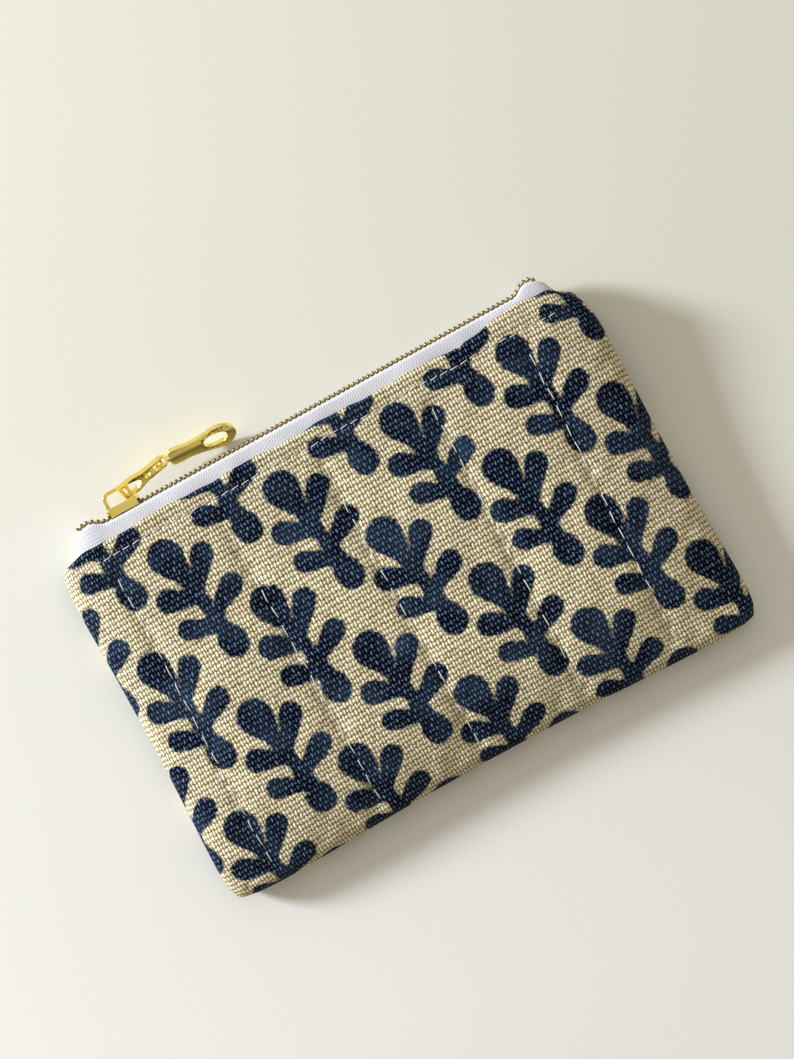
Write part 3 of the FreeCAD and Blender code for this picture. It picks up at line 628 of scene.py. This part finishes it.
CANVAS_CLOTH = canvas_material()
LINING_CLOTH = lining_material()
BATTING_FELT = batting_material()
TAPE_KNIT = tape_material()
THREAD = thread_material()
COIL_NYLON = coil_material()
GOLD = gold_material()


def finish_piece(obj, node):
    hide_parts(node)
    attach(obj, "pouch")


# ---------------------------------------------------------------- panels

EDGE_STEPS_CANVAS, EDGE_STEPS_INSIDE, FOLD_STEPS = 9, 5, 10
CANVAS_STEP, BATTING_STEP, LINING_STEP = 0.62, 1.6, 1.3
PRINT_PAST_FOLD_ROWS = 12           # the print stops this many rows down the hem's inner side
UNPRINTED = 4.0                     # print_edge on bare cloth, far outside the sprigs


def layer_piece(name, side, near, far, end_y, step, arc, material, fold_half=0.0, printed=False):
    """A closed sheet between two depths under the panel's outer face, from the bottom to end_y.

    near and far give the two depths at each y. Where fold_half isn't 0, a round fold of that
    radius joins them at the mouth.
    """
    ys = even(BOTTOM_Y + EDGE_RADIUS, end_y, step)
    bottom = np.array([BOTTOM_Y])
    near_y, near_sine, near_flat = bottom_arc(near(bottom)[0], arc)
    far_y, far_sine, far_flat = bottom_arc(far(bottom)[0], arc)
    fold_y, fold_depth, fold_flat = (np.zeros(0),) * 3
    if fold_half:
        turn = np.linspace(0.0, PI, FOLD_STEPS)[1:-1]
        fold_y = ys[-1] + fold_half * np.sin(turn)
        fold_depth = fold_half * (1.0 - np.cos(turn))
        fold_flat = ys[-1] + fold_half * turn
    return_flat = 2 * (ys[-1] + fold_half * PI / 2.0) - ys[::-1]
    y = np.concatenate([near_y, ys, fold_y, ys[::-1], far_y[::-1]])
    sine = np.concatenate([near_sine, np.ones(2 * len(ys) + len(fold_y)), far_sine[::-1]])
    depth = np.concatenate([near(near_y), near(ys), fold_depth, far(ys[::-1]), far(far_y[::-1])])
    flat_v = np.concatenate([near_flat, ys, fold_flat, return_flat, 2 * FOLD_Y - far_flat[::-1]])
    x, x_sine, flat_u = Columns(step, arc).at(depth)
    points = panel(side, x, x_sine, y[:, None], sine[:, None], depth[:, None])
    rows, cols = x.shape
    flat_v = flat_v[:, None] + mouth_edge(side, x, y[:, None])
    cloth = np.stack([flat_u, flat_v, np.zeros_like(x)], -1)
    attributes = [("cloth", cloth.reshape(-1, 3))]
    if printed:
        shift = 0.0 if side == FRONT else BACK_PRINT_SHIFT
        edge = print_distance(flat_u + shift, flat_v)
        edge[rows - len(ys) - arc + PRINT_PAST_FOLD_ROWS:] = UNPRINTED
        attributes.append(("print_edge", edge.ravel()))
    faces = folded_grid(rows, cols, side == BACK)
    return mesh_object(name, points, faces, attributes, material)


def changing_depth(start, end):
    """A depth that changes over the hem's first rows."""
    def at(y):
        return start + (end - start) * smooth((y - HEM_START_Y) / (HEM_FULL_Y - HEM_START_Y))
    return at


def constant(value):
    return changing_depth(value, value)


for face, side in PANEL_SIDES:
    obj = layer_piece(face + "_canvas_cloth", side, constant(0.0), changing_depth(CANVAS, HEM),
                      FOLD_Y - HEM / 2.0, CANVAS_STEP, EDGE_STEPS_CANVAS, CANVAS_CLOTH,
                      fold_half=HEM / 2.0, printed=True)
    finish_piece(obj, face + "_canvas")
    obj = layer_piece(face + "_batting_pad", side, constant(BATTING[0]), constant(BATTING[1]),
                      BATTING_END_Y, BATTING_STEP, EDGE_STEPS_INSIDE, BATTING_FELT)
    finish_piece(obj, face + "_batting")
    near, far = (changing_depth(*depths) for depths in zip(LINING, LINING_AT_ZIPPER))
    obj = layer_piece(face + "_lining_cloth", side, near, far, LINING_END_Y, LINING_STEP,
                      EDGE_STEPS_INSIDE, LINING_CLOTH)
    finish_piece(obj, face + "_lining")


# ---------------------------------------------------------------- zipper tape

# Past the ends of its straight run the zipper bows out, curls in and tucks between the panels.
LEFT_BOW, LEFT_BOW_X, LEFT_CURL, LEFT_CURL_X, LEFT_CURL_RUN = 1.5, -53.2, 5.2, -57.8, 5.1
RIGHT_BOW, RIGHT_BOW_X, RIGHT_CURL, RIGHT_CURL_X, RIGHT_CURL_RUN = 1.8, 54.4, 4.5, 58.5, 6.1
BOW_RUN = 4.0
TUCK, TUCK_X, TUCK_RUN = 3.0, 63.5, 4.5
TAPE_END_X, TAPE_START_Y = 68.0, 41.0
TAPE_NARROWS_AT, TAPE_NARROW_RUN = (-64.2, 65.5), 5.0
TAPE_DROP_X, TAPE_DROP_RUN = 63.0, 5.0      # the tape comes down to the height of the side seams
SLIDER_GAP = 0.7                            # the coils stand apart past the slider's rest


def past_slider(x):
    return smooth((LEFT_BOW_X - x) / BOW_RUN)


def tucked(x):
    return smooth((np.abs(x) - TUCK_X) / TUCK_RUN)


def quarter_circle(distance, run):
    return 1.0 - np.sqrt(1.0 - np.clip(distance / run, 0.0, 1.0) ** 2)


def mouth_out(x):
    """How far the zipper strays out of its straight line. It doesn't where the slider travels."""
    left = LEFT_BOW * past_slider(x) - LEFT_CURL * quarter_circle(LEFT_CURL_X - x, LEFT_CURL_RUN)
    right = RIGHT_BOW * smooth((x - RIGHT_BOW_X) / BOW_RUN)
    right = right - RIGHT_CURL * quarter_circle(x - RIGHT_CURL_X, RIGHT_CURL_RUN)
    return left + right - TUCK * tucked(x)


def tape_layer(side, xs, inward):
    """Rows of one face of the tape: under the panel, out past its fold and down to its edge."""
    depth = TAPE[0] + inward
    turned = np.clip((HALF_WIDTH - depth - np.abs(xs)) / (EDGE_RADIUS - depth), 0.0, 1.0)
    sine = np.sqrt(1.0 - (1.0 - turned) ** 2)
    under = np.concatenate([np.linspace(TAPE_START_Y, FOLD_Y - 0.8, 5), [FOLD_Y]])
    rows = [panel(side, xs, sine, np.full_like(xs, y), 1.0, depth) for y in under]
    fold = rows[-1]
    narrow_low, narrow_high = TAPE_NARROWS_AT
    room = np.minimum(xs - narrow_low, narrow_high - xs) / TAPE_NARROW_RUN
    width = np.sqrt(np.clip(room, 0.0, 1.0))
    bend = (TAPE_BEND - inward) * (0.35 + 0.65 * width)
    face = TAPE_FACE_Y - inward + mouth_out(xs)
    out = np.maximum(face - bend - fold[:, 1], 0.05 - 2.0 * tucked(xs))

    def past_fold(further, down):
        row = fold.copy()
        row[:, 1] += further
        row[:, 2] -= side * down
        return row

    for share in (0.33, 0.66):
        rows.append(past_fold(out * share, 0.12 * share))
    for turn in np.linspace(0.0, PI / 2.0, 7):
        rows.append(past_fold(out + bend * math.sin(turn), 0.2 + bend * (1.0 - math.cos(turn))))
    low = rows[-1]
    drop = (SEAM_Z - CHAIN_Z) * smooth((np.abs(xs) - TAPE_DROP_X) / TAPE_DROP_RUN)
    edge = CHAIN_Z + drop + lift_at(xs, FOLD_Y) + side * TAPE_EDGE * width
    for share in np.linspace(0.2, 1.0, 6):
        row = low.copy()
        row[:, 2] += (edge - low[:, 2]) * share
        rows.append(row)
    return rows


def tape_strip(name, side):
    fine, coarse = 0.4, 0.9
    xs = np.concatenate([even(-TAPE_END_X, -56.0, fine), even(-55.2, 56.0, coarse),
                         even(56.4, TAPE_END_X, fine)])
    grid = np.stack(tape_layer(side, xs, 0.0) + tape_layer(side, xs, TAPE[1] - TAPE[0])[::-1])
    run = np.cumsum(np.linalg.norm(np.diff(grid.mean(1), axis=0), axis=1))
    run = np.concatenate([[0.0], run])[:, None]
    cloth = np.stack(np.broadcast_arrays(xs, run, 0.0), -1)
    faces = folded_grid(len(grid), len(xs), side == BACK)
    obj = mesh_object(name, grid, faces, [("cloth", cloth.reshape(-1, 3))], TAPE_KNIT)
    return obj


for face, side in PANEL_SIDES:
    finish_piece(tape_strip(face + "_tape_knit", side), face + "_zipper_tape")


# ---------------------------------------------------------------- tubes: coils, cords and stitches

def tubes(name, paths, radius, sides, material, around_x=False):
    """One mesh of round tubes with closed ends. paths is (tube, point, xyz).

    around_x suits a path that winds about the X axis.
    """
    count, length, _ = paths.shape      # tubes, points along each
    x_axis, y_axis, z_axis = np.eye(3)
    tangent = np.gradient(paths, axis=1)
    tangent /= np.linalg.norm(tangent, axis=2, keepdims=True)
    level = np.abs(tangent[..., 2:3]) < 0.9
    guide = x_axis if around_x else np.where(level, z_axis, y_axis)
    first = np.cross(guide, tangent)
    first /= np.linalg.norm(first, axis=2, keepdims=True)
    second = np.cross(tangent, first)
    angle = np.arange(sides) * 2.0 * PI / sides
    ring = first[:, :, None] * np.cos(angle)[:, None] + second[:, :, None] * np.sin(angle)[:, None]
    points = paths[:, :, None] + ring * radius
    run = np.cumsum(np.linalg.norm(np.diff(paths, axis=1), axis=2), 1)
    run = np.concatenate([np.zeros((count, 1)), run], 1)[:, :, None]
    cloth = np.stack(np.broadcast_arrays(run, angle, 0.0), -1)
    tube, i, j = np.meshgrid(np.arange(count), np.arange(length - 1), np.arange(sides),
                             indexing="ij")
    row_start = (tube * length + i) * sides
    a, b = row_start + j, row_start + (j + 1) % sides
    faces = [np.stack([a, b, b + sides, a + sides], -1).reshape(-1, 4)]
    for row in (0, length - 1):
        start = (np.arange(count) * length + row) * sides
        for k in range(sides // 2 - 1):
            opposite = start + sides - 1 - k
            cap = np.stack([start + k, start + k + 1, opposite - 1, opposite], 1)
            faces.append(cap[:, ::-1] if row == 0 else cap)
    attributes = [("cloth", cloth.reshape(-1, 3))]
    return mesh_object(name, points, np.concatenate(faces), attributes, material)


def beside_zipper(side, x, out, aside):
    """Points that stand out of the tapes' face and aside of the zipper's centre line."""
    y = TAPE_FACE_Y + out + mouth_out(x)
    z = CHAIN_Z + lift_at(x, FOLD_Y) + side * (aside + SLIDER_GAP * past_slider(x))
    return np.stack([x, y, z], -1)


def coil_path(side):
    """Flattened loops. The back coil's are half a turn off the front coil's, and don't reach them."""
    steps_per_turn, lead, squareness = 16, 0.16, 0.75
    turn = np.arange(-2 * steps_per_turn, COIL_TURNS * steps_per_turn + 1) / steps_per_turn
    angle = 2.0 * PI * turn

    def flattened(wave):
        return np.sign(wave) * np.abs(wave) ** squareness

    start = COIL_START_X + (0.0 if side == FRONT else COIL_PITCH / 2.0)
    x = start + COIL_PITCH * turn + lead * np.cos(angle)
    inner, outer = COIL_INNER + WIRE_RADIUS, COIL_OUTER - WIRE_RADIUS + 0.05
    aside = (inner + outer) / 2.0 + (outer - inner) / 2.0 * flattened(np.cos(angle))
    out = COIL_SEAT + COIL_HEIGHT / 2.0
    out = out + (COIL_HEIGHT / 2.0 - WIRE_RADIUS) * flattened(np.sin(angle))
    return beside_zipper(side, x, out, aside)[None]


def cord_path(side):
    end_x = COIL_START_X + COIL_PITCH * COIL_TURNS
    x = np.linspace(COIL_START_X - 1.6, end_x - 0.6, 240)
    return beside_zipper(side, x, COIL_SEAT + COIL_HEIGHT / 2.0, CORD_ASIDE)[None]


def coil_stitch_paths(side):
    """One stitch over the tape beside each turn of the coil."""
    first_turn = 0.5 if side == FRONT else 1.0
    start = COIL_START_X + COIL_PITCH * (np.arange(COIL_TURNS) + first_turn)
    t = np.linspace(-0.5, 0.5, 7)
    x = start[:, None] + 1.15 * t
    aside = COIL_OUTER + 0.18 + 0.16 * np.cos(2.0 * PI * t)
    return beside_zipper(side, x, 0.02 + 0.14 * np.cos(PI * t), aside)


def surface_stitches(side, starts, ends, proud, dig):
    """Stitches that arch a little over the cloth and dive into it at both ends."""
    t = np.linspace(0.0, 1.0, 9)
    x, y = (starts[:, i:i + 1] + (ends - starts)[:, i:i + 1] * t for i in (0, 1))
    arch = (proud + dig) * np.clip(np.sin(PI * t) * 2.2, 0.0, 1.0) - dig
    points = panel(side, x, np.ones_like(x), y, 1.0, 0.0, out=arch)
    over_table = 0.15
    points[..., 2] = np.maximum(points[..., 2], over_table)
    return points


def quilting_paths(side):
    starts, ends = [], []
    ys = np.arange(QUILT_START_Y, QUILT_END_Y - QUILT_PITCH * 0.5, QUILT_PITCH)
    for row, x0 in enumerate(QUILT_XS):
        for k, y in enumerate(ys):
            wobble = STITCH_ASKEW * math.sin(2.3 * k + row * 1.9)
            start_y = y + STITCH_UNEVEN * math.sin(1.7 * k + row)
            end_y = start_y + QUILT_LENGTH
            starts.append((quilt_line(x0, start_y) + wobble, start_y))
            ends.append((quilt_line(x0, end_y) - 0.15 * wobble, end_y))
    return surface_stitches(side, np.array(starts), np.array(ends), proud=0.10, dig=0.30)


def topstitching_paths(side):
    count = int(2 * TOPSTITCH_HALF_RUN / TOPSTITCH_PITCH)
    x = -TOPSTITCH_HALF_RUN + TOPSTITCH_PITCH * np.arange(count)
    y = TOPSTITCH_Y + 0.15 * np.sin(x * 0.35)
    starts = np.stack([x, y - 0.10], 1)
    ends = np.stack([x + TOPSTITCH_LENGTH, y + 0.10], 1)
    return surface_stitches(side, starts, ends, proud=0.06, dig=0.26)


def tack_paths(sign):
    """A bar of threads over both tapes, sewn side by side."""
    first_x, pitch, half_length, threads = 61.2, 0.34, 1.2, 6
    t = np.linspace(-1.0, 1.0, 9)
    x = sign * (first_x + pitch * np.arange(threads)[:, None]) + 0.08 * t
    y = TAPE_FACE_Y + 0.02 + 0.16 * np.cos(t * PI / 2.0) + mouth_out(x)
    z = CHAIN_Z + lift_at(x, FOLD_Y) + half_length * t
    return np.stack([settle(x, np.full_like(x, FOLD_Y), 0.0)[..., 0], y, z], -1)


for face, side in PANEL_SIDES:
    obj = tubes(face + "_coil_helix", coil_path(side), WIRE_RADIUS, 8, COIL_NYLON, around_x=True)
    finish_piece(obj, face + "_zipper_coil")
    obj = tubes(face + "_filler_cord", cord_path(side), CORD_RADIUS, 8, THREAD)
    finish_piece(obj, face + "_coil_cord")
    obj = tubes(face + "_coil_sewing", coil_stitch_paths(side), SEWING_RADIUS, 6, THREAD)
    finish_piece(obj, face + "_coil_stitches")
    obj = tubes(face + "_quilting_thread", quilting_paths(side), QUILT_RADIUS, 8, THREAD)
    finish_piece(obj, face + "_quilting")
    paths = topstitching_paths(side)
    obj = tubes(face + "_topstitch_thread", paths, TOPSTITCH_RADIUS, 8, THREAD)
    finish_piece(obj, face + "_topstitching")
for end, sign in (("left", -1), ("right", 1)):
    obj = tubes(end + "_bar_tack", tack_paths(sign), TACK_RADIUS, 8, THREAD)
    finish_piece(obj, end + "_end_tack")


# ---------------------------------------------------------------- CAD pieces that stay

SOFT_EDGE_MM = {"slider_body": 0.22, "slider_bail": 0.30, "pull_link": 0.22, "pull_tab": 0.20}
SEAM_THREADS = ("left_seam_thread", "right_seam_thread", "bottom_seam_thread", "lining_seam_thread")


def dress(node, material):
    """Gives a CAD piece its material and slot."""
    for obj in bpy.context.scene.objects:
        if obj.get("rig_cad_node") == node:
            obj.data.materials.clear()
            obj.data.materials.append(material)
            return obj
    raise RuntimeError("no CAD piece " + node)


for node, soft_edge in SOFT_EDGE_MM.items():
    obj = dress(node, GOLD)
    obj.data.polygons.foreach_set("use_smooth", np.ones(len(obj.data.polygons), bool))
    weld = obj.modifiers.new("weld", "WELD")
    weld.merge_threshold = 1e-6
    bevel = obj.modifiers.new("soft edges", "BEVEL")
    bevel.width = soft_edge * MM
    bevel.segments = 3
    bevel.limit_method = "ANGLE"
    bevel.angle_limit = math.radians(32.0)
    bevel.harden_normals = False
    normals = obj.modifiers.new("normals", "WEIGHTED_NORMAL")
    normals.keep_sharp = False
for node in SEAM_THREADS:
    dress(node, THREAD)


# ---------------------------------------------------------------- table, light and camera

# The photo's right and up on the table
TURN = math.radians(28.8)
RIGHT = Vector((math.cos(TURN), -math.sin(TURN), 0.0))
UP = Vector((math.sin(TURN), math.cos(TURN), 0.0))
ABOVE = Vector((0.0, 0.0, 1.0))

LOOK_AT_M = Vector((0.0050, 0.0155, 0.006))
CAMERA_DISTANCE_M = 0.36
SEEN_HEIGHT_M = 0.2472
CAMERA_TILT = math.radians(0.5)
SENSOR = 36.0

WINDOW_DISTANCE_M, WINDOW_SIZE_M = 1.1, (0.21, 0.20)
WINDOW_HEIGHT = math.radians(19.0)
WINDOW_WATTS, DAYLIGHT = 19.0, (0.87, 0.93, 1.0)
ROOM_BRIGHTNESS = 0.85
TABLE_HALF = 1500.0

corners = [(x * TABLE_HALF, y * TABLE_HALF, 0.0) for x, y in ((-1, -1), (1, -1), (1, 1), (-1, 1))]
floor = mesh_object("table_top", corners, [(0, 1, 2, 3)], (), table_material(), smooth_shade=False)

camera = bpy.data.objects.new("camera", bpy.data.cameras.new("camera"))
bpy.context.scene.collection.objects.link(camera)
lean = (UP * 0.85 - RIGHT * 0.5).normalized()
back = (ABOVE * math.cos(CAMERA_TILT) + lean * math.sin(CAMERA_TILT)).normalized()
up = (UP - back * UP.dot(back)).normalized()
turn = Matrix((up.cross(back), up, back)).transposed().to_4x4()
camera.matrix_world = Matrix.Translation(LOOK_AT_M + back * CAMERA_DISTANCE_M) @ turn
camera.data.sensor_width = SENSOR
camera.data.lens = SENSOR * CAMERA_DISTANCE_M / SEEN_HEIGHT_M
camera.data.clip_start, camera.data.clip_end = 0.01, 10.0
bpy.context.scene.camera = camera

sideways = (UP * 0.115 - RIGHT * 0.993).normalized()
to_window = (sideways * math.cos(WINDOW_HEIGHT) + ABOVE * math.sin(WINDOW_HEIGHT)).normalized()
window = bpy.data.lights.new("window", "AREA")
window.shape, window.size, window.size_y = "RECTANGLE", *WINDOW_SIZE_M
window.energy, window.color = WINDOW_WATTS, DAYLIGHT
lamp = bpy.data.objects.new("window", window)
lamp.location = LOOK_AT_M + to_window * WINDOW_DISTANCE_M
lamp.rotation_mode = "QUATERNION"
lamp.rotation_quaternion = to_window.to_track_quat("Z", "Y")
bpy.context.scene.collection.objects.link(lamp)


def room_world():
    """The room's own light, brightest towards the photo's upper left."""
    n = Nodes(bpy.data.worlds.new("room"))
    brightest = (UP * 0.70 - RIGHT * 0.40 + ABOVE * 0.60).normalized()
    direction = n.add("ShaderNodeTexCoord", output="Generated")
    facing = n.add("ShaderNodeVectorMath", {0: direction, 1: tuple(brightest)}, output="Value",
                   operation="DOT_PRODUCT")
    colour = n.linear_ramp(n.range(facing, -1.0, 1.0),
                           (0.0, (0.06, 0.055, 0.045)), (0.30, (0.27, 0.24, 0.175)),
                           (0.75, (0.58, 0.54, 0.45)), (1.0, (1.0, 0.99, 0.90)))
    light = n.add("ShaderNodeBackground", {"Color": colour, "Strength": ROOM_BRIGHTNESS})
    n.add("ShaderNodeOutputWorld", {"Surface": light})
    return n.owner


bpy.context.scene.world = room_world()
bpy.context.scene.view_settings.view_transform = "Standard"
